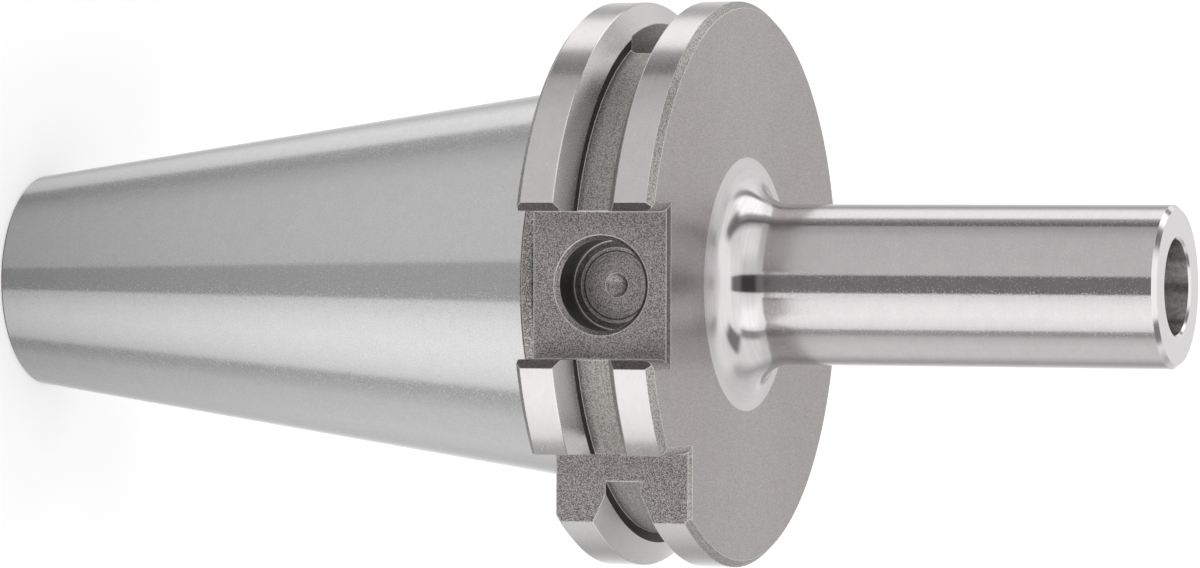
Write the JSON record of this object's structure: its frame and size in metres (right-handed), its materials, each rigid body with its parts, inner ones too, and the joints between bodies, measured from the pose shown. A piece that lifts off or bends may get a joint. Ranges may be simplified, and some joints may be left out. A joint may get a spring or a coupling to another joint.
{
  "type": "threaded shank adapter",
  "caption": "One-piece steep-taper tool holder with gripper flange, drive slots, orientation notch and a slim cylindrical nose bored and tapped for screw-in milling heads.",
  "frame": {"origin": "centre of the gauge circle, where the steep taper has its nominal diameter", "axes": "+Z along the axis towards the nose, -Y out of the drive slot that has the data-carrier hole, +X on the side of the orientation notch"},
  "size_m": [0.0636, 0.061, 0.1374],
  "materials": {
    "hardened_steel": "case-hardened alloy steel: taper, flange rim, groove flanks and nose ground bright, milled and turned faces left dark grey"
  },
  "bodies": {
    "root": {"adapter_body": "hardened_steel"}
  },
  "joints": []
}
